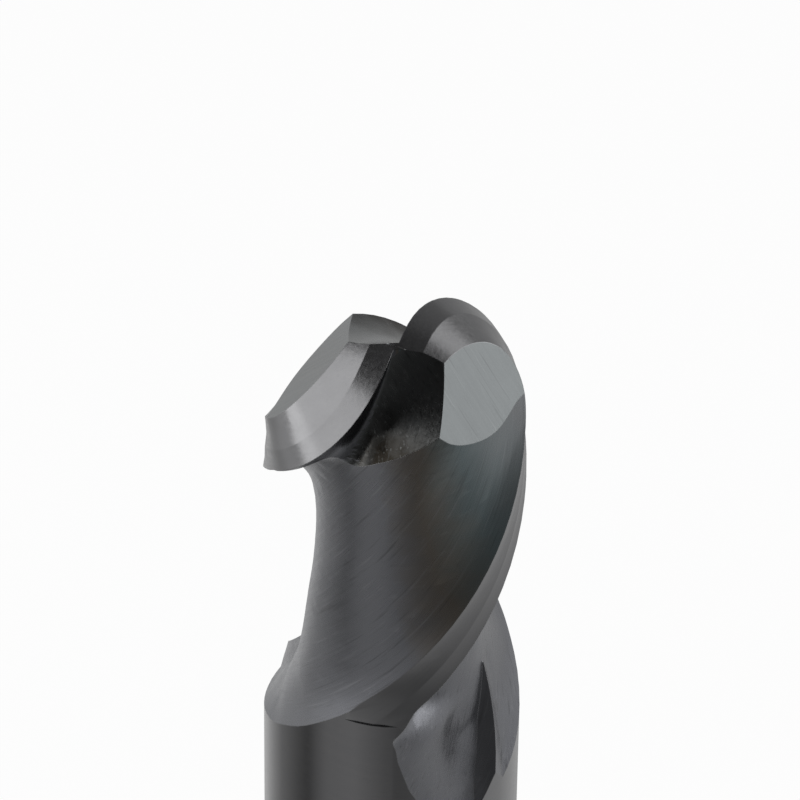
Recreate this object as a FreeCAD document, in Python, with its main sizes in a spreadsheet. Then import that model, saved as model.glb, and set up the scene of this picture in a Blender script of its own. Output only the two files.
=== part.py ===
import FreeCAD, Part
import Sketcher
import os
from math import atan2, cos, degrees, pi, radians, sin, sqrt, tan

# Ball nose end mill, two flutes, solid carbide, one piece.
# Millimetres. +Z up. The origin is the centre of the shank's flat end, and the ball points up.
# Angles are in degrees about +Z from +X, counter-clockwise seen from the ball.
# Each tooth is shaped by one set of cutters, and the second set is the first turned half a turn.

doc = FreeCAD.newDocument("EndMill")
V = FreeCAD.Vector
UP = V(0, 0, 1)

# The driving dimensions
SIZES = [
    ("cutting_diameter", 10.0, "diameter over the cutting edges and of the ball"),
    ("shank_diameter", 10.0, "diameter of the plain shank, a collet size"),
    ("overall_length", 75.0, "from the shank's flat end to the tip of the ball"),
    ("land_length", 20.5, "from the tip to where the ground lands end"),
    ("shank_chamfer", 0.5, "chamfer round the shank's flat end"),
    ("helix_angle", 33.7, "angle of the cutting edge to the axis, on the diameter"),
    ("edge_start", 211.0, "where the first edge crosses the level of the ball's centre"),
    ("rake_angle", 8.0, "radial rake of the flute's cutting face"),
    ("core_diameter", 6.0, "web left between the two flutes"),
    ("flute_angle", 153.0, "width of a flute about the axis, from its edge to the next heel"),
    ("primary_width", 1.0, "width of the first relief behind the edge"),
    ("primary_relief", 10.0, "its angle below the tangent"),
    ("secondary_relief", 20.0, "angle of the second relief below the tangent"),
    ("facet_distance", 3.75, "from the ball's centre to the flat third relief"),
    ("facet_behind", 60.0, "how far behind the edge that flat faces, about the axis"),
    ("facet_rise", 29.0, "how far the flat's normal rises above level"),
    ("web_thickness", 0.35, "what the two gashes leave between them at the tip"),
    ("gash_slope", 29.0, "angle between the gash's floor and the axis"),
    ("gash_ahead", 26.0, "direction of the gash's floor ahead of the first edge's start"),
    ("gash_radius", 0.9, "radius along the gash's root where it leaves the ball"),
    ("runout_length", 10.5, "from the end of the lands to the last trace of a flute"),
]
sheet = doc.addObject("Spreadsheet::Sheet", "Sizes")
for row, (alias, number, meaning) in enumerate(SIZES, start=1):
    sheet.set("A%d" % row, meaning)
    sheet.set("B%d" % row, repr(number))
    sheet.setAlias("B%d" % row, alias)
doc.recompute()


def size(alias):
    """One driving dimension, as the sheet holds it."""
    return float(getattr(sheet, alias))


R = size("cutting_diameter") / 2
CENTRE_Z = size("overall_length") - R
LAND_END_Z = size("overall_length") - size("land_length")
RUNOUT_END_Z = LAND_END_Z - size("runout_length")
LEAD = 2 * pi * R / tan(radians(size("helix_angle")))
EDGE_START = size("edge_start")
BODY_R = max(R, size("shank_diameter") / 2)
OUTSIDE = 2.2 * BODY_R


def polar(radius, angle, z):
    """A point from its radius, its angle in degrees and its height."""
    return V(radius * cos(radians(angle)), radius * sin(radians(angle)), z)


def edge_angle(z):
    """Where the first cutting edge is at a height: one helix over ball and cylinder."""
    return EDGE_START + 360.0 * (z - CENTRE_Z) / LEAD


def blank_radius(z):
    """Radius of the uncut ball and cylinder at a height."""
    above = min(max(z - CENTRE_Z, 0.0), R)
    return sqrt(R * R - above * above)


def between(stations, z):
    """Reads a row of values at a height from stations, (height, value, value...), top down."""
    if z >= stations[0][0]:
        return stations[0][1:]
    for upper, lower in zip(stations, stations[1:]):
        if z >= lower[0]:
            share = (upper[0] - z) / (upper[0] - lower[0])
            return tuple(a + share * (b - a) for a, b in zip(upper[1:], lower[1:]))
    return stations[-1][1:]


def heights(top, bottom, step):
    """Evenly spaced heights from top to bottom, about a step apart."""
    count = max(2, round((top - bottom) / step))
    return [top + (bottom - top) * i / count for i in range(count + 1)]


def section(curve_edges, outer_points):
    """A closed wire: the cutting curve, then straight runs outside the blank back to its start."""
    first = curve_edges[0].Vertexes[0].Point
    last = curve_edges[-1].Vertexes[-1].Point
    corners = [last] + outer_points + [first]
    edges = list(curve_edges)
    edges += [Part.makeLine(a, b) for a, b in zip(corners, corners[1:])]
    return Part.Wire(edges)


def smooth_edge(points):
    """One smooth curve through the points."""
    curve = Part.BSplineCurve()
    curve.interpolate(points)
    return curve.toShape()


def fan(angle_from, angle_to, z):
    """Corner points well outside the blank, from one angle to the other, 4 spans."""
    return [polar(OUTSIDE, angle_from + (angle_to - angle_from) * i / 4, z) for i in range(5)]


def cutter(name, wires):
    """A cutter's solid, lofted smoothly through its sections."""
    solid = Part.makeLoft(wires, True, False)
    if solid.Volume < 0:
        solid.reverse()
    feature = doc.addObject("Part::Feature", name)
    feature.Shape = solid
    print("%-14s valid %s  volume %8.2f mm3" % (name, solid.isValid(), solid.Volume))
    return feature


# The blank: plain shank with a chamfered end, and the cutting part with its half ball
def add_line(sketch, start, end):
    return sketch.addGeometry(Part.LineSegment(V(*start, 0), V(*end, 0)), False)


def tie(sketch, name, line, point, axis, expression):
    """Ties one coordinate of a line's end to the sheet."""
    index = sketch.addConstraint(Sketcher.Constraint("Distance" + axis, -1, 1, line, point, 1.0))
    sketch.renameConstraint(index, name)
    sketch.setExpression("Constraints." + name, expression)


def profile_sketch(body, name):
    sketch = body.newObject("Sketcher::SketchObject", name)
    plane = [f for f in body.Origin.OriginFeatures if f.Role == "XZ_Plane"][0]
    sketch.AttachmentSupport = [(plane, "")]
    sketch.MapMode = "FlatFace"
    return sketch


def turned(body, name, sketch):
    feature = body.newObject("PartDesign::Revolution", name)
    feature.Profile = sketch
    feature.ReferenceAxis = (sketch, ["V_Axis"])
    feature.Angle = 360.0
    sketch.Visibility = False
    return feature


blank = doc.addObject("PartDesign::Body", "Blank")

shank_r = size("shank_diameter") / 2
bevel = size("shank_chamfer")
corners = [(0, 0), (shank_r - bevel, 0), (shank_r, bevel), (shank_r, LAND_END_Z), (0, LAND_END_Z)]
shank_profile = profile_sketch(blank, "ShankProfile")
for start, end in zip(corners, corners[1:] + corners[:1]):
    add_line(shank_profile, start, end)
for line in range(5):
    shank_profile.addConstraint(Sketcher.Constraint("Coincident", line, 2, (line + 1) % 5, 1))
shank_profile.addConstraint(Sketcher.Constraint("Coincident", 0, 1, -1, 1))
shank_profile.addConstraint(Sketcher.Constraint("Horizontal", 0))
shank_profile.addConstraint(Sketcher.Constraint("Vertical", 2))
shank_profile.addConstraint(Sketcher.Constraint("Horizontal", 3))
shank_profile.addConstraint(Sketcher.Constraint("Vertical", 4))
tie(shank_profile, "end_radius", 0, 2, "X", "Sizes.shank_diameter / 2 - Sizes.shank_chamfer")
tie(shank_profile, "radius", 1, 2, "X", "Sizes.shank_diameter / 2")
tie(shank_profile, "bevel", 1, 2, "Y", "Sizes.shank_chamfer")
tie(shank_profile, "top", 2, 2, "Y", "Sizes.overall_length - Sizes.land_length")
turned(blank, "Shank", shank_profile)

head_profile = profile_sketch(blank, "HeadProfile")
add_line(head_profile, (0, LAND_END_Z), (R, LAND_END_Z))
add_line(head_profile, (R, LAND_END_Z), (R, CENTRE_Z))
ball = Part.Circle(V(0, CENTRE_Z, 0), UP, R)
head_profile.addGeometry(Part.ArcOfCircle(ball, 0, pi / 2), False)
add_line(head_profile, (0, CENTRE_Z + R), (0, LAND_END_Z))
for line in range(4):
    head_profile.addConstraint(Sketcher.Constraint("Coincident", line, 2, (line + 1) % 4, 1))
head_profile.addConstraint(Sketcher.Constraint("PointOnObject", 0, 1, -2))
head_profile.addConstraint(Sketcher.Constraint("PointOnObject", 2, 3, -2))
head_profile.addConstraint(Sketcher.Constraint("Horizontal", 0))
head_profile.addConstraint(Sketcher.Constraint("Vertical", 1))
head_profile.addConstraint(Sketcher.Constraint("Vertical", 3))
tie(head_profile, "radius", 0, 2, "X", "Sizes.cutting_diameter / 2")
tie(head_profile, "land_end", 0, 2, "Y", "Sizes.overall_length - Sizes.land_length")
tie(head_profile, "centre", 2, 3, "Y", "Sizes.overall_length - Sizes.cutting_diameter / 2")
tie(head_profile, "tip", 2, 2, "Y", "Sizes.overall_length")
turned(blank, "Head", head_profile)
doc.recompute()
print("blank volume %.2f mm3, %d faces" % (blank.Shape.Volume, len(blank.Shape.Faces)))


# A flute's section, as radii over the core's: how far round the flute, and how far above the core
RISE = [
    (0.0, 0.0),
    (0.26, 0.0),
    (0.39, 0.025),
    (0.48, 0.054),
    (0.66, 0.107),
    (0.84, 0.203),
    (0.915, 0.265),
    (0.955, 0.315),
    (1.0, 0.40),
    (1.06, 0.54),
]
HOOK = [(2.0, 0.068), (11.0, 0.018)]
RAKE_DEPTHS = [-0.25, -0.1, 0.0, 0.12, 0.24]
WALL_SLOPE = 0.0085


def floor_rise(share):
    """How far the flute's surface stands above the core, in radii, at a share of its width."""
    for (a, low), (b, high) in zip(RISE, RISE[1:]):
        if share <= b:
            return low + (high - low) * (share - a) / (b - a)
    return RISE[-1][1]


def cutting_face():
    """The flute's own shape along the lands: straight cutting face, hook and floor."""
    core = size("core_diameter") / 2
    rake = radians(size("rake_angle"))
    points = []
    for depth in RAKE_DEPTHS:
        x, y = R - depth * R * cos(rake), -depth * R * sin(rake)
        points.append((degrees(atan2(y, x)), sqrt(x * x + y * y)))
    points += [(angle, core + above * R) for angle, above in HOOK]
    points += [(share * size("flute_angle"), core + above * R) for share, above in RISE[1:]]
    return points


def lifting_face(start, lift):
    """Its shape in the run-out, where the side behind has pulled back to start degrees."""
    core = size("core_diameter") / 2 + lift
    first, last = start - 10.0, RISE[-1][0] * size("flute_angle")
    count = len(cutting_face())
    points = []
    for i in range(count):
        angle = first + (last - first) * i / (count - 1)
        wall = 1.0 - WALL_SLOPE * (angle - start)
        bottom = core / R + floor_rise(max(angle, 0.0) / size("flute_angle"))
        radius = R * (max(wall, 0.05) ** 14 + bottom ** 14) ** (1 / 14)
        points.append((angle, radius))
    return points


def flute_section(z, start, lift, share):
    """The section at a height, share of the way from the cutting face to the lifting one."""
    base = edge_angle(z)
    regular = [(angle + start * max(0, 1 - angle / 90), r) for angle, r in cutting_face()]
    lifting = lifting_face(start, lift)
    points = []
    for (a, r), (b, q) in zip(regular, lifting):
        points.append(polar(r + share * (q - r), base + a + share * (b - a), z))
    last = degrees(atan2(points[-1].y, points[-1].x))
    width = (last - base) % 360
    return section([smooth_edge(points)], fan(base + width, base + start, z))


def runout_z(share):
    """A height in the run-out, from 0 at the end of the lands to 1 at the last trace."""
    return LAND_END_Z + share * (RUNOUT_END_Z - LAND_END_Z)


# Height, angle from the edge to the cutting face, rise of the floor, share of the lifting shape
FLUTE_STATIONS = [
    (CENTRE_Z + 1.12 * R, 40.0, 0.0, 0.0),
    (CENTRE_Z + 0.50 * R, 22.0, 0.0, 0.0),
    (CENTRE_Z + 0.00 * R, 0.0, 0.0, 0.0),
    (LAND_END_Z + 0.20 * R, 0.0, 0.0, 0.0),
    (runout_z(0.12), 4.0, 0.0, 0.5),
    (runout_z(0.25), 20.0, 0.0, 1.0),
    (runout_z(0.50), 46.0, 0.04 * R, 1.0),
    (runout_z(0.75), 76.0, 0.15 * R, 1.0),
    (runout_z(1.00), 112.0, 0.36 * R, 1.0),
]
flute_top, flute_end = FLUTE_STATIONS[0][0], FLUTE_STATIONS[-1][0]
flute_heights = heights(flute_top, LAND_END_Z, 0.2 * R) + heights(LAND_END_Z, flute_end, 0.12 * R)[1:]
full_flute = cutter("FullFlute", [flute_section(z, *between(FLUTE_STATIONS, z)) for z in flute_heights])

# The wheel leaves the heel side first. What it leaves standing in the run-out has a sloping
# top and a steep side towards the deeper middle. Slopes in radii per degree and per radius
STEP_ANGLE, STEP_SLOPE = 109.0, 0.03
HEEL_LIFT, HEEL_FROM, HEEL_SKEW = 0.36, 0.75, 0.025
RAMP_ANGLES = [84.0 + 6.0 * i for i in range(15)]
STEP_RADII = [0.2, 0.4, 0.6, 0.8, 1.0, 1.2, 1.5]


def surface_radius(angle):
    """Radius of the flute's floor and heel side at an angle ahead of the cutting edge."""
    return size("core_diameter") / 2 + R * floor_rise(angle / size("flute_angle"))


def ramp_section(z):
    """What lies under the sloping top."""
    base = edge_angle(z)
    gone = (LAND_END_Z - z) / R - HEEL_FROM
    points = []
    for angle in RAMP_ANGLES:
        lift = HEEL_LIFT * (gone - HEEL_SKEW * (angle - STEP_ANGLE))
        points.append(polar(surface_radius(angle) + R * lift, base + angle, z))
    inner = [polar(0.15 * R, base + angle, z) for angle in (RAMP_ANGLES[-1], RAMP_ANGLES[0])]
    return section([smooth_edge(points)], inner)


def step_section(z):
    """What lies behind the steep side."""
    base = edge_angle(z)
    points = [polar(r * R, base + STEP_ANGLE + (r - 1.0) / STEP_SLOPE, z) for r in STEP_RADII]
    behind = [polar(r * R, base + 175.0, z) for r in (STEP_RADII[-1], STEP_RADII[0])]
    return section([smooth_edge(points)], behind)


step_heights = heights(LAND_END_Z - 0.55 * R, LAND_END_Z - 2.35 * R, 0.12 * R)
ramp = cutter("HeelRamp", [ramp_section(z) for z in step_heights])
step_side = cutter("HeelStep", [step_section(z) for z in step_heights])
standing = doc.addObject("Part::Common", "HeelStanding")
standing.Base, standing.Tool = ramp, step_side
flute = doc.addObject("Part::Cut", "Flute")
flute.Base, flute.Tool = full_flute, standing
doc.recompute()
print("Flute valid %s  volume %.2f mm3" % (flute.Shape.isValid(), flute.Shape.Volume))


# The two narrow reliefs behind the edge, over the ball and down the cylinder in one strip.
# The strip starts a hair ahead of the edge, so that no sliver of the round blank is left there.
# It gets shallower over its last stretch, where the wheel lifts off the land
STRIP_LEAD = 0.3
LIFT_OFF, LIFT_OFF_SHARE = 0.35 * R, 0.78


def edge_point(z):
    return polar(blank_radius(z), edge_angle(z), z)


def relief_section(z):
    """Section square to the ground surface: ahead of the edge, primary, secondary, outside."""
    edge = polar(blank_radius(z), edge_angle(z) + STRIP_LEAD, z)
    centre = V(0, 0, min(z, CENTRE_Z))
    out = (edge - centre).normalize()
    back = polar(1, edge_angle(z) - 90, 0)
    left = min((z - LAND_END_Z) / LIFT_OFF, 1.0)
    depth = LIFT_OFF_SHARE + (1.0 - LIFT_OFF_SHARE) * left
    first, second = radians(depth * size("primary_relief")), radians(depth * size("secondary_relief"))
    width = size("primary_width")

    def at(start, distance, slope):
        return start + back * (distance * cos(slope)) - out * (distance * sin(slope))

    ahead = at(edge, -0.3 * R, first)
    bend = at(edge, width, first)
    far = at(bend, 0.62 * R, second)
    lines = [Part.makeLine(ahead, bend), Part.makeLine(bend, far)]
    return section(lines, [far + out * 0.6 * R, ahead + out * 0.4 * R])


relief_heights = [CENTRE_Z + R * sin(radians(a)) for a in (90, 84, 78, 71, 63, 54, 45, 36, 27, 18, 9, 0)]
relief_heights += heights(CENTRE_Z, LAND_END_Z, 0.2 * R)[1:]
relief = cutter("Relief", [relief_section(z) for z in relief_heights])

# The third relief: one flat across the back of the ball's tooth
facet = doc.addObject("Part::Box", "Facet")
facet.setExpression("Length", "2 * Sizes.cutting_diameter")
facet.setExpression("Width", "2 * Sizes.cutting_diameter")
facet.setExpression("Height", "Sizes.cutting_diameter")
doc.recompute()
facet_angle = EDGE_START - size("facet_behind")
rise = radians(size("facet_rise"))
normal = polar(cos(rise), facet_angle, sin(rise))
turn = FreeCAD.Rotation(UP, normal)
corner = V(0, 0, CENTRE_Z) + normal * size("facet_distance")
corner = corner - turn.multVec(V(2 * R, 2 * R, 0))
facet.Placement = FreeCAD.Placement(corner, turn)

# The gash: a notch with a rounded root from the tip down into the flute, which frees the
# edge on the ball. Height from the ball's centre in radii, and how far its two walls open
GASH_OPENING = [(0.96 * R, 112.0), (0.50 * R, 96.0), (0.0, 93.0), (-0.3 * R, 93.0)]


def gash_section(z):
    tip_z = CENTRE_Z + R
    depth = size("web_thickness") / 2 + (tip_z - z) * tan(radians(size("gash_slope")))
    floor_angle = EDGE_START + size("gash_ahead")
    root = polar(depth, floor_angle, z)
    seen = min(z, CENTRE_Z + 0.99 * R)
    reach = size("web_thickness") / 2 + (tip_z - seen) * tan(radians(size("gash_slope")))
    to_edge = edge_point(seen) - polar(reach, floor_angle, seen)
    left = V(to_edge.x, to_edge.y, 0).normalize()
    opening = between(GASH_OPENING, z - CENTRE_Z)[0]
    left_angle = degrees(atan2(left.y, left.x))
    right_angle = left_angle + opening
    right = polar(1, right_angle, 0)
    half = radians(opening / 2)
    share = min(max((tip_z - z) / R, 0.03), 1.2)
    radius = size("gash_radius") * share
    middle = polar(1, left_angle + opening / 2, 0)
    left_foot = root + left * (radius / tan(half))
    right_foot = root + right * (radius / tan(half))
    bottom = root + middle * (radius / sin(half) - radius)
    left_end, right_end = root + left * OUTSIDE, root + right * OUTSIDE
    lines = [
        Part.makeLine(left_end, left_foot),
        Part.Arc(left_foot, bottom, right_foot).toShape(),
        Part.makeLine(right_foot, right_end),
    ]
    return section(lines, [root + middle * (1.3 * OUTSIDE)])


gash_heights = heights(CENTRE_Z + 1.06 * R, CENTRE_Z - 0.3 * R, 0.1 * R)
gash = cutter("Gash", [gash_section(z) for z in gash_heights])

# Both teeth are cut in turn, each cutter once as it is and once turned half a turn
body = blank
HALF_TURN = FreeCAD.Placement(V(0, 0, 0), FreeCAD.Rotation(UP, 180))
for step in (flute, relief, facet, gash):
    for tooth in ("First", "Second"):
        tool = step
        if tooth == "Second":
            tool = doc.addObject("Part::Feature", step.Name + "Turned")
            tool.Shape = step.Shape.copy()
            tool.Placement = HALF_TURN.multiply(step.Placement) if step is facet else HALF_TURN
        cut = doc.addObject("Part::Cut", step.Name + tooth + "Cut")
        cut.Base, cut.Tool = body, tool
        cut.Refine = False
        doc.recompute()
        print("%-20s %8.2f mm3 left, valid %s" % (cut.Name, cut.Shape.Volume, cut.Shape.isValid()))
        body = cut
body.Label = "end_mill"

doc.recompute()
for item in doc.Objects:
    assert "Invalid" not in item.State and "Error" not in item.State, item.Name
shape = body.Shape
assert not shape.isNull() and shape.isValid() and len(shape.Solids) == 1, "end_mill"
os.makedirs("parts", exist_ok=True)
shape.exportStep("parts/%s.step" % body.Label)
box = shape.BoundBox
print("end_mill %d faces, box %.2f x %.2f x %.2f" % (len(shape.Faces), box.XLength, box.YLength, box.ZLength))
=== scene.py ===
# %% [markdown]
# # A ball nose end mill, dressed for its picture
# The tool is one rod of tungsten carbide. Its half ball, its two flutes and the narrow
# reliefs behind its edges are all ground, and a thin grey coating covers the cutting end.
# The measured solid is loaded first. Nothing in this lesson moves it or changes its size.

# %% Load the measured solid
import bpy
import bmesh
from math import atan2, cos, pi, radians, sin, tan
from mathutils import Matrix, Vector


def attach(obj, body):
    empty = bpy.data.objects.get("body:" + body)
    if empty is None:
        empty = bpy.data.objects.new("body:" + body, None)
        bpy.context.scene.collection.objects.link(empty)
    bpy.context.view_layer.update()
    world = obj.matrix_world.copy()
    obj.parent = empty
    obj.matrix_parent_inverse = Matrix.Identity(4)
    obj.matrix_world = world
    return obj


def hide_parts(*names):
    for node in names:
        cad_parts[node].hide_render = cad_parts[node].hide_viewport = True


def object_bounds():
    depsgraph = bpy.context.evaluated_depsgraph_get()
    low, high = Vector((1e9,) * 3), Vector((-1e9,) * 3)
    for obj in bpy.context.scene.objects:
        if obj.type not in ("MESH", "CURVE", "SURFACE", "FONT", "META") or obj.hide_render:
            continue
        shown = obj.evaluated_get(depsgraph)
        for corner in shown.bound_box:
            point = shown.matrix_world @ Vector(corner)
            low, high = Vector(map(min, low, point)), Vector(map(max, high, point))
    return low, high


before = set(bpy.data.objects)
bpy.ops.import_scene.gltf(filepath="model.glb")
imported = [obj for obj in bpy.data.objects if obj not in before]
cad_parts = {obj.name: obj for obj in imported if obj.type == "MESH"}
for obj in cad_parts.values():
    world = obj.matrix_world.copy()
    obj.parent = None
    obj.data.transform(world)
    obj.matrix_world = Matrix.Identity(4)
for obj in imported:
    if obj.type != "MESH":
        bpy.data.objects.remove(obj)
solid_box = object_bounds()
print("the solid's box", solid_box)

# %% [markdown]
# ## The sizes that the finish follows
# Each grinding wheel leaves its own marks, so the finish needs to know where each one has
# cut. Those places follow from a few sizes of the tool: the ball's radius, the height of
# its centre, the end of the lands and the twist of the flutes. All are in metres.

# %% Name the tool's sizes
RADIUS = 0.005
TIP = solid_box[1].z
CENTRE = Vector((0, 0, TIP - RADIUS))
LAND_END = TIP - 0.0205
FLUTE_END = LAND_END - 0.0105
EDGE_START = radians(211.0)
TWIST = tan(radians(33.7)) / RADIUS
FACET_DISTANCE = 0.00375
FACET_TURN = EDGE_START - radians(60.0)
FACET_RISE = radians(29.0)
print("twist of the flutes: one turn in %.1f mm" % (2000 * pi / TWIST))

# %% [markdown]
# ## A closed copy of the solid
# The solid arrives as loose triangles, and a shader can't tell a ground edge from a
# triangle's border on it. A copy is merged into one closed skin, so that each ridge can be
# marked sharp and everything between the ridges can be shaded smooth. Subdividing would
# round the cutting edges, so the copy keeps the solid's own triangles.

# %% Merge a copy
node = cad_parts["end_mill"]
skin = bmesh.new()
skin.from_mesh(node.data)
bmesh.ops.remove_doubles(skin, verts=skin.verts, dist=1e-7)
skin.normal_update()
skin.faces.ensure_lookup_table()
open_edges = sum(not e.is_manifold for e in skin.edges)
print("skin: %d faces, %d open edges" % (len(skin.faces), open_edges))

# %% [markdown]
# ## Which wheel has ground each face
# A tool grinder makes this shape in steps: it grinds the rod round, cuts the flutes with
# one wheel, the reliefs behind the edges with another, then a flat on the back of each
# tooth and a gash at the tip. The faces could be picked by hand, but then the choice would
# be lost with every change. Here each face is asked where it is and which way it looks.

# %% Tell the round rod, the flats and the lands from the flutes
FINISHES = ["shank", "flute", "primary", "secondary", "facet", "gash"]
ROUND = 0.9985 * RADIUS
LAND_FLOOR = 0.88 * RADIUS
LAND_FACING = 0.91
FLAT_FACING = 0.9995
FLAT_SLACK = 2e-5


def facet_normals():
    """The direction that each tooth's flat looks in."""
    turns = (FACET_TURN, FACET_TURN + pi)
    level, rise = cos(FACET_RISE), sin(FACET_RISE)
    return [Vector((level * cos(a), level * sin(a), rise)) for a in turns]


def ground_by(face):
    """The name of the step that made a face, from its place and its normal."""
    place, normal = face.calc_center_median(), face.normal
    round_axis = Vector((place.x, place.y, 0.0))
    if place.z < LAND_END and round_axis.length > ROUND and abs(normal.z) < 0.02:
        return "shank"
    if place.z < FLUTE_END:
        return "shank"
    for flat in facet_normals():
        off = abs((place - CENTRE).dot(flat) - FACET_DISTANCE)
        if normal.dot(flat) > FLAT_FACING and off < FLAT_SLACK:
            return "facet"
    out = place - CENTRE if place.z > CENTRE.z else round_axis
    on_land = place.z > LAND_END - 1e-5 and out.length > LAND_FLOOR
    if on_land and normal.dot(out.normalized()) > LAND_FACING:
        return "secondary"
    return "flute"


labels = [ground_by(f) for f in skin.faces]
print("first choice", {name: labels.count(name) for name in FINISHES})

# %% [markdown]
# ## The gash
# At the tip the flutes are too shallow to carry chips, so a thin wheel is plunged in
# there. Its cut is the only part of a flute that looks well upwards, and it ends a little
# below the ball's centre. These two facts are enough to find it.

# %% Find the gash
GASH_FOOT = -0.0015
GASH_LEAN = 0.42
for face in skin.faces:
    above = face.calc_center_median().z - CENTRE.z
    if labels[face.index] == "flute" and above > GASH_FOOT and face.normal.z > GASH_LEAN:
        labels[face.index] = "gash"
print("gash faces", labels.count("gash"))

# %% [markdown]
# ## Two reliefs behind each edge
# Right behind the edge lies a narrow strip that is ground at a small angle, so that the
# edge stays strong. A wider, steeper strip follows and keeps the tooth's back clear of the
# work. The two meet at a low ridge. Walking over the faces from neighbour to neighbour,
# and stopping at each ridge, gathers one strip at a time. A strip that lies close behind
# its edge is the narrow one.

# %% Tell the narrow relief from the wide one
RELIEF_RIDGE = radians(6.0)
NARROW_DEPTH = 0.00075


def behind_edge(face):
    """How far a face lies behind its cutting edge, across the land."""
    place = face.calc_center_median()
    turn = EDGE_START + (place.z - CENTRE.z) * TWIST - atan2(place.y, place.x)
    return Vector((place.x, place.y)).length * ((turn + 0.5) % pi - 0.5)


def strip_from(start, members):
    """The members that are reached from one of them without crossing a ridge."""
    seen = {start}
    waiting = [start]
    while waiting:
        for edge in skin.faces[waiting.pop()].edges:
            if edge.calc_face_angle(0.0) > RELIEF_RIDGE:
                continue
            for other in edge.link_faces:
                if other.index in members and other.index not in seen:
                    seen.add(other.index)
                    waiting.append(other.index)
    return seen


left = {f.index for f in skin.faces if labels[f.index] == "secondary"}
while left:
    strip = strip_from(min(left), left)
    left -= strip
    area = sum(skin.faces[i].calc_area() for i in strip)
    depth = sum(skin.faces[i].calc_area() * behind_edge(skin.faces[i]) for i in strip) / area
    if depth < NARROW_DEPTH:
        for index in strip:
            labels[index] = "primary"
for finish in FINISHES:
    size = sum(f.calc_area() for f in skin.faces if labels[f.index] == finish)
    print("%-10s %6d faces %8.2f mm2" % (finish, labels.count(finish), size * 1e6))

# %% [markdown]
# ## Ridges stay sharp
# Where two wheels met there is a ridge. It is marked sharp even where the two surfaces
# meet at only a few degrees, as the two reliefs do. The gash runs into the flute without a
# ridge in places, and there the border stays smooth. Inside a surface only the triangles
# meet, so everything else is shaded smooth.

# %% Mark the ridges
SMOOTH_LIMIT = {"shank": 30.0, "flute": 34.0, "primary": 12.0, "secondary": 12.0, "facet": 2.0,
                "gash": 28.0}
GASH_RIDGE = 15.0
ANY_RIDGE = 0.5
for face in skin.faces:
    face.smooth = True
    face.material_index = FINISHES.index(labels[face.index])
for edge in skin.edges:
    names = {labels[f.index] for f in edge.link_faces}
    if len(names) == 1:
        limit = SMOOTH_LIMIT[min(names)]
    else:
        limit = GASH_RIDGE if names == {"flute", "gash"} else ANY_RIDGE
    edge.smooth = edge.calc_face_angle(0.0) < radians(limit)
print("sharp edges", sum(not e.smooth for e in skin.edges))

# %% [markdown]
# ## The piece
# The skin becomes one piece that takes the solid's place. The tool has no moving part, so
# it rides on the root.

# %% Make the piece
mill_mesh = bpy.data.meshes.new("ball_nose_mill")
skin.to_mesh(mill_mesh)
skin.free()
mill = bpy.data.objects.new("ball_nose_mill", mill_mesh)
bpy.context.scene.collection.objects.link(mill)
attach(mill, "root")
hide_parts("end_mill")
print("piece", mill.name, len(mill_mesh.polygons), "faces")

# %% [markdown]
# ## Coated carbide
# The coating is a hard grey film a few micrometres thick, so it has a metal's gloss and
# shows the grinding marks that lie under it. A single grey would look like plastic. The
# marks run along the wheel's path, so the material first turns its coordinates back by the
# flute's twist. After that a plain noise, drawn out along the axis, follows the helix.
# Every finish is made by the same function, with its own tint, gloss and direction.
# A few small helpers come first, because a material is built node by node.

# %% Helpers that make one node
def add(tree, kind, label="", **sockets):
    """A node with some of its input sockets set. A socket may be given a value or a link."""
    item = tree.nodes.new(kind)
    item.label = label
    for name, value in sockets.items():
        by_number = name[0] == "i" and name[1:].isdigit()
        socket = item.inputs[int(name[1:])] if by_number else item.inputs[name]
        if isinstance(value, bpy.types.NodeSocket):
            tree.links.new(value, socket)
        else:
            socket.default_value = value
    return item


def maths(tree, operation, first, second=0.0, label=""):
    item = add(tree, "ShaderNodeMath", label, i0=first, i1=second)
    item.operation = operation
    return item.outputs[0]


def ramp(tree, value, low, high, label=""):
    """Stretches the range from low to high over 0 to 1 and clips the rest."""
    item = add(tree, "ShaderNodeMapRange", label, Value=value)
    item.inputs["From Min"].default_value = low
    item.inputs["From Max"].default_value = high
    return item.outputs["Result"]


def smooth_range(tree, value, ends, results, label=""):
    """Leads smoothly from one result to the other while the value passes between the ends."""
    item = add(tree, "ShaderNodeMapRange", label, Value=value)
    item.interpolation_type = "SMOOTHSTEP"
    item.inputs["From Min"].default_value, item.inputs["From Max"].default_value = ends
    item.inputs["To Min"].default_value, item.inputs["To Max"].default_value = results
    return item.outputs["Result"]


# %% Helpers for colour
def blended(tree, factor, first, second, label=""):
    """The first colour at a factor of 0 and the second at 1."""
    item = add(tree, "ShaderNodeMix", label)
    item.data_type = "RGBA"
    for name, value in (("Factor", factor), ("A", first), ("B", second)):
        kind = "VALUE" if name == "Factor" else "RGBA"
        socket = [s for s in item.inputs if s.name == name and s.type == kind][0]
        if isinstance(value, bpy.types.NodeSocket):
            tree.links.new(value, socket)
        else:
            socket.default_value = value if name == "Factor" else (*value, 1.0)
    return [s for s in item.outputs if s.type == "RGBA"][0]


def noise(tree, place, scale, detail=3.0, label=""):
    item = add(tree, "ShaderNodeTexNoise", label, Vector=place, Scale=scale, Detail=detail)
    return item.outputs["Fac"]


def stops(tree, value, colours, label=""):
    """A colour ramp, given as (place from 0 to 1, colour)."""
    item = add(tree, "ShaderNodeValToRGB", label, Fac=value)
    item.color_ramp.interpolation = "LINEAR"
    marks = item.color_ramp.elements
    while len(marks) < len(colours):
        marks.new(0.5)
    for mark, (place, colour) in zip(marks, colours):
        mark.position = place
        mark.color = (*colour, 1.0)
    return item.outputs["Color"]


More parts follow.
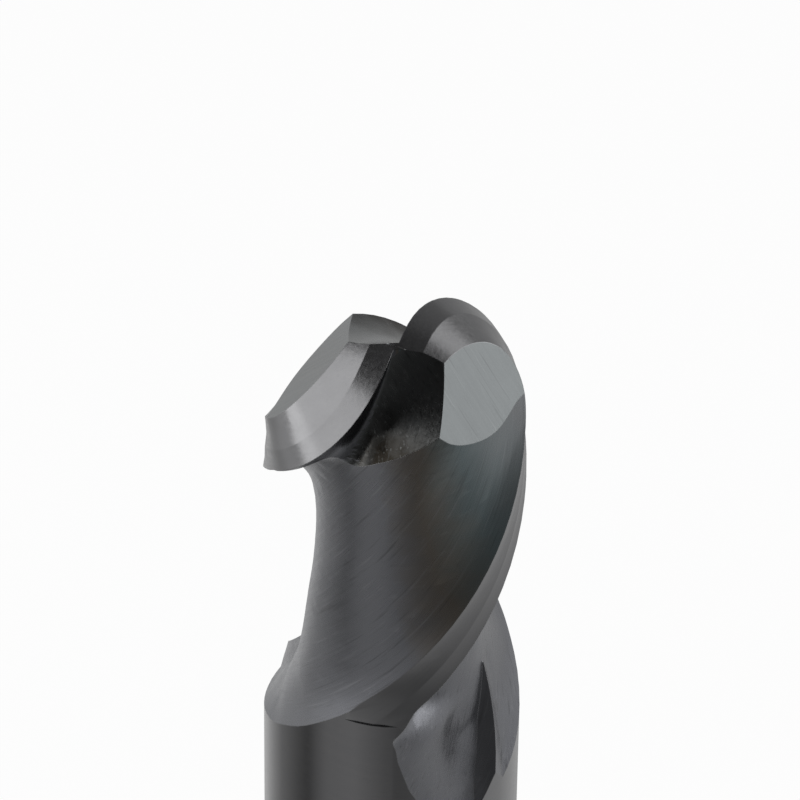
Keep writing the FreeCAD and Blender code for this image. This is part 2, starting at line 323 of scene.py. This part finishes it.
# %% [markdown]
# ## Which way the marks run
# A noise texture has no direction of its own. It gets one when its coordinates are turned
# until z runs along the marks, and then squeezed in z. In the flutes and on the reliefs
# the marks follow the helix. On the flats and in the gash they run down the slope.

# %% Turn the coordinates along the marks
def untwisted(tree, place):
    """Coordinates turned back by the flutes' twist, so that a tooth's edge runs straight up."""
    height = add(tree, "ShaderNodeSeparateXYZ", Vector=place).outputs["Z"]
    back = maths(tree, "MULTIPLY", height, -TWIST)
    item = add(tree, "ShaderNodeVectorRotate", "turned back by the twist", Vector=place, Angle=back)
    item.rotation_type = "Z_AXIS"
    return item.outputs["Vector"]


def down_the_flat(tree, place):
    """Coordinates whose z runs down the flat of either tooth."""
    xyz = add(tree, "ShaderNodeSeparateXYZ", Vector=place).outputs
    side = maths(tree, "ADD", maths(tree, "MULTIPLY", xyz["X"], cos(FACET_TURN)),
                 maths(tree, "MULTIPLY", xyz["Y"], sin(FACET_TURN)))
    tooth = maths(tree, "SIGN", side)
    joined = add(tree, "ShaderNodeCombineXYZ", X=maths(tree, "MULTIPLY", xyz["X"], tooth),
                 Y=maths(tree, "MULTIPLY", xyz["Y"], tooth), Z=xyz["Z"]).outputs["Vector"]
    flat = facet_normals()[0]
    down = (flat * flat.z - Vector((0, 0, 1))).normalized()
    item = add(tree, "ShaderNodeVectorRotate", "turned onto the flat", Vector=joined)
    item.rotation_type = "EULER_XYZ"
    turned = down.rotation_difference(Vector((0, 0, 1))).to_euler()
    item.inputs["Rotation"].default_value = turned
    return item.outputs["Vector"]


# %% [markdown]
# ## The finish of one ground surface
# Fine marks and broad bands come from one wheel, and clouds and grain from the coating and
# the carbide. They set the colour, the gloss and a very shallow bump. A real edge is never
# perfectly sharp: it is honed by a few hundredths of a millimetre. A bevel of the shading
# rounds it, so the mesh keeps its true edges, and the lighter grey that the same bevel lays
# along each ridge is a painted highlight.

# %% Build the finish
HONED = 0.00005
MARK_DEPTH = 8e-6
# The lighter grey of the ridges, a painted highlight.
RIDGE_HIGHLIGHT = (0.42, 0.42, 0.43)


def ground_carbide(name, colour, tint, gloss, lay=None, marks=7000.0, drawn=0.03, depth=0.5,
                   contrast=1.0, tint_and_shade=None):
    """Coated carbide with the marks of one grinding wheel."""
    material = bpy.data.materials.new(name)
    material.use_nodes = True
    tree = material.node_tree
    shader = tree.nodes["Principled BSDF"]
    place = add(tree, "ShaderNodeTexCoord").outputs["Object"]
    straight = lay(tree, place) if lay else place
    stretched = add(tree, "ShaderNodeMapping", "drawn out along the marks", Vector=straight)
    stretched.inputs["Scale"].default_value = (1.0, 1.0, drawn)
    stretched = stretched.outputs["Vector"]
    fine = noise(tree, stretched, marks, 4.0, "fine grinding marks")
    broad = noise(tree, stretched, marks * 0.16, 3.0, "broad grinding bands")
    cloud = noise(tree, place, 260.0, 3.0, "clouds in the coating")
    speck = noise(tree, place, 9000.0, 2.0, "grain of the carbide")

    shade = maths(tree, "ADD", maths(tree, "MULTIPLY", broad, 0.6), maths(tree, "MULTIPLY", cloud, 0.5))
    grey = blended(tree, ramp(tree, shade, 0.38, 0.72), colour, tint, "coating and its tint")
    if tint_and_shade:
        grey = tint_and_shade(tree, place, straight, grey)
    deep = tuple(c * 0.35 for c in colour)
    worn = tuple(min(1.0, c * 1.9 + 0.03) for c in colour)
    dark = ramp(tree, fine, 0.40, 0.28, "the deepest marks")
    bright = ramp(tree, fine, 0.60, 0.74, "the highest marks")
    grey = blended(tree, maths(tree, "MULTIPLY", dark, 0.45 * contrast), grey, deep, "dark marks")
    grey = blended(tree, maths(tree, "MULTIPLY", bright, 0.30 * contrast), grey, worn, "bright marks")

    rounding = add(tree, "ShaderNodeBevel", "honed ridges", Radius=HONED)
    rounding.samples = 4
    face = add(tree, "ShaderNodeNewGeometry").outputs["Normal"]
    same = add(tree, "ShaderNodeVectorMath", "1 away from a ridge", i0=rounding.outputs["Normal"], i1=face)
    same.operation = "DOT_PRODUCT"
    # The ridges that the bevel finds are painted a lighter grey: a painted highlight.
    ridge = ramp(tree, same.outputs["Value"], 0.985, 0.88, "painted highlight along the ridges")
    grey = blended(tree, maths(tree, "MULTIPLY", ridge, 0.55), grey, RIDGE_HIGHLIGHT, "painted ridge highlight")
    tree.links.new(grey, shader.inputs["Base Color"])

    rough = maths(tree, "ADD", maths(tree, "MULTIPLY", fine, 0.16), maths(tree, "MULTIPLY", speck, 0.04))
    tree.links.new(maths(tree, "ADD", rough, gloss - 0.10), shader.inputs["Roughness"])
    shader.inputs["Metallic"].default_value = 1.0

    height = maths(tree, "ADD", maths(tree, "MULTIPLY", fine, 0.7), maths(tree, "MULTIPLY", broad, 0.8))
    height = maths(tree, "ADD", height, maths(tree, "MULTIPLY", speck, 0.05))
    bump = add(tree, "ShaderNodeBump", "depth of the marks", Height=height, Strength=depth,
               Distance=MARK_DEPTH, Normal=rounding.outputs["Normal"])
    tree.links.new(bump.outputs["Normal"], shader.inputs["Normal"])
    return material


# %% [markdown]
# ## Heat tints and painted shade in the gash
# Where a wheel cuts hot the film takes a colour, first straw brown and then blue green. In
# the flutes this band lies towards the heel and moves round with the helix, so it is laid
# out on the untwisted coordinates, as a share of the way from one edge to the next. The
# foot of the gash is darkened to a dull brown near black, which is painted shade in that
# recess. This painted shade fades on the gash's walls, so that it has no hard border where
# the gash runs into the flute.

# %% Tint the flutes and paint shade into the gash
# Near black brown, the painted shade at the foot of the gash.
GASH_FOOT_SHADE = (0.024, 0.021, 0.017)
FLUTE_TINTS = [(0.0, (1.0, 1.0, 1.04)), (0.30, (1.0, 1.0, 1.04)), (0.45, (1.06, 0.93, 0.78)),
               (0.54, (0.92, 0.98, 0.92)), (0.62, (0.84, 1.03, 1.04)), (0.85, (0.98, 1.0, 1.0))]


def flute_heat(tree, place, straight, grey):
    """Straw brown and then blue green towards the heel, where the wheel cut hottest."""
    xyz = add(tree, "ShaderNodeSeparateXYZ", Vector=straight).outputs
    around = maths(tree, "ARCTAN2", xyz["Y"], xyz["X"])
    around = maths(tree, "DIVIDE", maths(tree, "SUBTRACT", around, EDGE_START - TWIST * CENTRE.z), pi)
    share = maths(tree, "FRACT", around, 0.0, "0 at one edge, 1 at the next")
    below = maths(tree, "MULTIPLY", maths(tree, "SUBTRACT", xyz["Z"], CENTRE.z + 0.0004), 50.5)
    waver = maths(tree, "MULTIPLY", noise(tree, place, 900.0, 3.0), 0.10)
    where = maths(tree, "ADD", maths(tree, "ADD", share, below), waver)
    tints = stops(tree, where, FLUTE_TINTS, "heat tints")
    item = add(tree, "ShaderNodeVectorMath", "tinted", i0=grey, i1=tints)
    item.operation = "MULTIPLY"
    return item.outputs["Vector"]


def gash_foot_shade(tree, place, straight, grey):
    """Painted shade: the foot of the gash is darkened to a dull brown near black."""
    height = add(tree, "ShaderNodeSeparateXYZ", Vector=place).outputs["Z"]
    waver = maths(tree, "MULTIPLY", noise(tree, place, 1200.0, 3.0), 0.0012)
    height = maths(tree, "ADD", height, waver)
    foot = ramp(tree, height, CENTRE.z + 0.0042, CENTRE.z + 0.0024, "foot of the gash")
    facing = add(tree, "ShaderNodeNewGeometry").outputs["Normal"]
    upward = add(tree, "ShaderNodeSeparateXYZ", Vector=facing).outputs["Z"]
    floor_only = ramp(tree, upward, 0.45, 0.62, "none on the walls")
    # Painted shade: the floor of the gash is blended towards the near black brown.
    return blended(tree, maths(tree, "MULTIPLY", foot, floor_only), grey, GASH_FOOT_SHADE, "gash_shade")


# %% [markdown]
# ## Six finishes
# The shank is ground round, so its marks run across and are very faint. The reliefs are
# the smoothest surfaces. The flutes, the flats and the gash show their marks clearly.

# %% Make the finishes and put them on the piece
LAND_GREY, LAND_TINT = (0.195, 0.195, 0.20), (0.215, 0.215, 0.22)
finishes = {
    "shank": ground_carbide("ground_shank", (0.19, 0.19, 0.197), (0.205, 0.203, 0.208), 0.17,
                            marks=2500.0, drawn=6.0, depth=0.10, contrast=0.3),
    "flute": ground_carbide("ground_flute", (0.20, 0.203, 0.212), (0.215, 0.22, 0.228), 0.27, untwisted,
                            drawn=0.045, depth=0.8, tint_and_shade=flute_heat),
    "primary": ground_carbide("ground_primary", LAND_GREY, LAND_TINT, 0.23, untwisted, contrast=0.2),
    "secondary": ground_carbide("ground_secondary", LAND_GREY, LAND_TINT, 0.23, untwisted, contrast=0.2),
    "facet": ground_carbide("ground_facet", (0.155, 0.165, 0.168), (0.175, 0.187, 0.190), 0.24,
                            down_the_flat),
    "gash": ground_carbide("ground_gash", (0.16, 0.167, 0.17), (0.18, 0.185, 0.185), 0.25, down_the_flat,
                           drawn=0.05, depth=0.7, tint_and_shade=gash_foot_shade),
}
for finish in FINISHES:
    mill_mesh.materials.append(finishes[finish])
print("finishes", [m.name for m in mill_mesh.materials])

# %% [markdown]
# ## The floor
# The tool stands on its flat end on a plain pale table, a disc that reaches past the
# picture's border.

# %% Make the floor
floor_shape = bmesh.new()
bmesh.ops.create_circle(floor_shape, cap_ends=True, segments=96, radius=1.5)
floor_mesh = bpy.data.meshes.new("floor")
floor_shape.to_mesh(floor_mesh)
floor_shape.free()
floor = bpy.data.objects.new("floor", floor_mesh)
bpy.context.scene.collection.objects.link(floor)
print("floor", len(floor_mesh.polygons), "face")

# %% [markdown]
# ## What the metal mirrors of the floor
# In the picture the floor is nearly white, and most of its light is its own, so it stays
# pale and still shows the tool's shadow. A glossy tool also mirrors the floor all round.
# Photographers stand dark cards on such a table, because a dark tool on white paper only
# looks like a tool if its curves mirror both light and dark stripes. The cards are made
# here as a brightness that only mirrored rays meet. It changes with the direction from
# the tool's axis, and it differs near the tool and further out.

# %% Give the floor its brightness
NEAR = [(-180, 0.62), (-142, 0.58), (-112, 0.27), (-92, 0.17), (-72, 0.06), (-54, 0.32),
        (-31, 0.38), (-9, 0.24), (4, 0.14), (18, 0.16), (40, 0.30), (62, 0.38), (90, 0.42),
        (112, 0.42), (140, 0.42), (160, 0.42), (180, 0.62)]
FAR = [(-180, 0.60), (-140, 0.50), (-120, 0.60), (-95, 0.85), (-75, 0.60), (-50, 0.38),
       (-35, 0.32), (-15, 0.11), (5, 0.08), (25, 0.12), (50, 0.15), (66, 0.30), (80, 0.65),
       (105, 0.65), (140, 0.38), (160, 0.48), (180, 0.60)]
NEAR_ENDS, FAR_STARTS = 0.028, 0.115
OWN_LIGHT = 0.93


def cards(tree, turn, brightness, label):
    """The brightness in each direction, given as (degrees, brightness)."""
    marks = [((angle + 180) / 360, (value, value, value)) for angle, value in brightness]
    colour = stops(tree, turn, marks, label)
    return add(tree, "ShaderNodeSeparateXYZ", Vector=colour).outputs["X"]


pale = bpy.data.materials.new("pale_floor")
pale.use_nodes = True
tree = pale.node_tree
tree.nodes.remove(tree.nodes["Principled BSDF"])
place = add(tree, "ShaderNodeTexCoord").outputs["Object"]
spot = add(tree, "ShaderNodeSeparateXYZ", Vector=place).outputs
item = add(tree, "ShaderNodeVectorMath", "distance from the tool's axis", i0=place)
item.operation = "LENGTH"
apart = smooth_range(tree, item.outputs["Value"], (NEAR_ENDS, FAR_STARTS), (0.0, 1.0), "how far out")
back = maths(tree, "MULTIPLY", spot["Y"], -1.0)
turn = maths(tree, "ARCTAN2", spot["X"], back, "0 in front, positive at the right")
turn = maths(tree, "ADD", maths(tree, "DIVIDE", turn, 2 * pi), 0.5, "0 and 1 are behind")
near = cards(tree, turn, NEAR, "near the tool")
far = cards(tree, turn, FAR, "further out")
mirrored = maths(tree, "ADD", near, maths(tree, "MULTIPLY", apart, maths(tree, "SUBTRACT", far, near)))

# %% Mix the floor's own light with its shadow
path = add(tree, "ShaderNodeLightPath").outputs
shown = maths(tree, "MAXIMUM", path["Is Camera Ray"], path["Is Transmission Ray"])
glow = maths(tree, "ADD", shown, maths(tree, "MULTIPLY", path["Is Glossy Ray"], mirrored))
seen = maths(tree, "MAXIMUM", shown, path["Is Glossy Ray"])
paper = add(tree, "ShaderNodeBsdfDiffuse", Color=(0.8, 0.8, 0.8, 1.0))
shine = add(tree, "ShaderNodeEmission", Color=(1.0, 1.0, 1.0, 1.0), Strength=glow)
share = maths(tree, "MULTIPLY", seen, OWN_LIGHT)
both = add(tree, "ShaderNodeMixShader", i0=share, i1=paper.outputs[0], i2=shine.outputs[0])
tree.links.new(both.outputs[0], tree.nodes["Material Output"].inputs["Surface"])
floor_mesh.materials.append(pale)
print("floor's finish", pale.name)

# %% [markdown]
# ## The room
# The room is white where the camera sees it. The metal mirrors it darker towards the
# camera's side and above, as over a photo table, and it gives a soft, even fill.

# %% Light the room
FILL = 0.5
world = bpy.data.worlds.new("room")
bpy.context.scene.world = world
world.use_nodes = True
tree = world.node_tree
ground = tree.nodes["Background"]
ground.inputs["Color"].default_value = (1.0, 1.0, 1.0, 1.0)
looking = add(tree, "ShaderNodeTexCoord").outputs["Generated"]
towards = add(tree, "ShaderNodeSeparateXYZ", Vector=looking).outputs
path = add(tree, "ShaderNodeLightPath").outputs
behind = smooth_range(tree, towards["Y"], (-0.3, 1.0), (0.06, 0.30), "dark at the camera's side")
overhead = smooth_range(tree, towards["Z"], (0.0, 0.9), (1.0, 0.35), "darker above")
mirrored = maths(tree, "MULTIPLY", behind, overhead)
lighting = maths(tree, "ADD", maths(tree, "MULTIPLY", path["Is Glossy Ray"], mirrored),
                 maths(tree, "MULTIPLY", path["Is Diffuse Ray"], FILL))
shown = maths(tree, "MAXIMUM", path["Is Camera Ray"], path["Is Transmission Ray"])
tree.links.new(maths(tree, "ADD", lighting, shown), ground.inputs["Strength"])
print("room", world.name)

# %% [markdown]
# ## The lamps
# Two large soft panels stand beside the tool. The left one makes the bright band on the
# near tooth, and the right one lights the flat on the other tooth.

# %% Stand two soft panels beside the tool
def panel(name, azimuth, elevation, distance, width, height, radiance):
    """A soft panel that faces the ball. Azimuth 0 is the camera's side and 90 is +X."""
    turn, rise = radians(azimuth), radians(elevation)
    away = Vector((sin(turn) * cos(rise), -cos(turn) * cos(rise), sin(rise)))
    light = bpy.data.lights.new(name, "AREA")
    light.shape = "RECTANGLE"
    light.size, light.size_y = width, height
    light.energy = radiance * pi * width * height
    lamp = bpy.data.objects.new(name, light)
    lamp.location = CENTRE + away * distance
    lamp.rotation_euler = away.to_track_quat("Z", "Y").to_euler()
    bpy.context.scene.collection.objects.link(lamp)
    print("%-12s %.2f W" % (name, light.energy))


panel("left_panel", -93, 18, 0.10, 0.125, 0.15, 1.6)
panel("right_panel", 109, 10, 0.11, 0.14, 0.13, 1.15)

# %% [markdown]
# ## The camera
# The picture looks down on the ball at about sixty degrees, with a long lens, so that the
# flutes are foreshortened and hardly converge. The angle, the roll and the distance come
# from fitting the tool's helix and its outline.

# %% Set up the camera
PICTURE = 800
SENSOR = 36.0
VIEW_DOWN = 1.04622
ROLL = 0.0125864
DISTANCE = 97.765 * RADIUS
PIXELS_PER_RADIUS = 132.894
BALL_AT = (395.442, 413.155)

forward = Vector((0, cos(VIEW_DOWN), -sin(VIEW_DOWN)))
level_up = Vector((0, sin(VIEW_DOWN), cos(VIEW_DOWN)))
level_right = Vector((1, 0, 0))
right = level_right * cos(ROLL) + level_up * sin(ROLL)
upward = level_up * cos(ROLL) - level_right * sin(ROLL)
camera_data = bpy.data.cameras.new("camera")
camera = bpy.data.objects.new("camera", camera_data)
bpy.context.scene.collection.objects.link(camera)
turned = Matrix((right, upward, -forward)).transposed().to_4x4()
camera.matrix_world = Matrix.Translation(CENTRE - forward * DISTANCE) @ turned
camera_data.sensor_width = SENSOR
camera_data.lens = SENSOR * PIXELS_PER_RADIUS * DISTANCE / RADIUS / PICTURE
camera_data.shift_x = (PICTURE / 2 - BALL_AT[0]) / PICTURE
camera_data.shift_y = (BALL_AT[1] - PICTURE / 2) / PICTURE
camera_data.clip_start, camera_data.clip_end = 0.01, 10.0
bpy.context.scene.camera = camera
bpy.context.scene.view_settings.view_transform = "Standard"
print("lens %.1f mm, %.3f m from the ball" % (camera_data.lens, DISTANCE))
